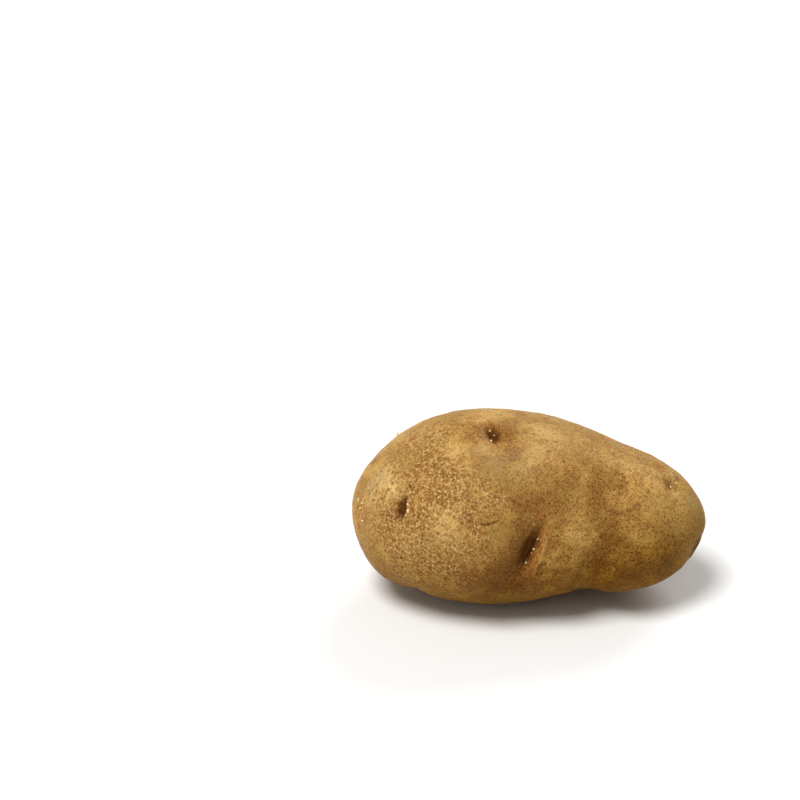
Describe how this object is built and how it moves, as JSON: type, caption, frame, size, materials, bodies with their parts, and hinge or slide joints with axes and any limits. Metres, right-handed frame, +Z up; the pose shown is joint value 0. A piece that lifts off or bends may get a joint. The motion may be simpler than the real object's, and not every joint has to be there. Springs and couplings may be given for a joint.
{
  "type": "potato",
  "caption": "Russet potato: a long, blunt-ended tuber with shallow eyes, furrows and a stem scar, resting on a small flat spot.",
  "frame": {"origin": "on the surface that the potato lies on, under the middle of its length and depth", "axes": "+X along the tuber from its blunt bud end to its slimmer stem end, +Z up, -Y towards the side with the long slit eye"},
  "size_m": [0.118, 0.069, 0.0608],
  "materials": {
    "skin": "dry, matte, netted russet skin, golden tan flecked with brown"
  },
  "bodies": {
    "root": {"tuber": "skin"}
  },
  "joints": []
}
